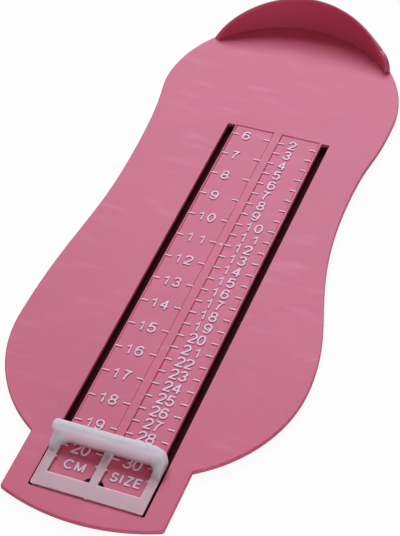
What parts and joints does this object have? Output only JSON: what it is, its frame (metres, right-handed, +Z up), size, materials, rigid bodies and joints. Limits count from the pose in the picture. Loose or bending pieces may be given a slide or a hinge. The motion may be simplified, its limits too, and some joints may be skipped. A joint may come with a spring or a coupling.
{
  "type": "foot measuring device",
  "caption": "Foot-shaped flat gauge with a curved heel cup, a raised scale between two slots, and a sliding toe stop with two reading windows",
  "frame": {"origin": "middle of the outline seen from above, on the plane the device stands on", "axes": "+X to the right seen from the toe end, +Y towards the heel cup, +Z up"},
  "size_m": [0.0938, 0.2254, 0.0159],
  "materials": {
    "pink_plastic": "smooth moulded, slightly satin",
    "white_plastic": "translucent milky, smooth moulded"
  },
  "bodies": {
    "plate": {"base_plate": "pink_plastic"},
    "slider": {"toe_slider": "white_plastic"}
  },
  "joints": [
    {"name": "toe_slide", "type": "slide", "parent": "plate", "child": "slider", "axis": [0, 1, 0], "range_m": [0, 0.1407]}
  ]
}
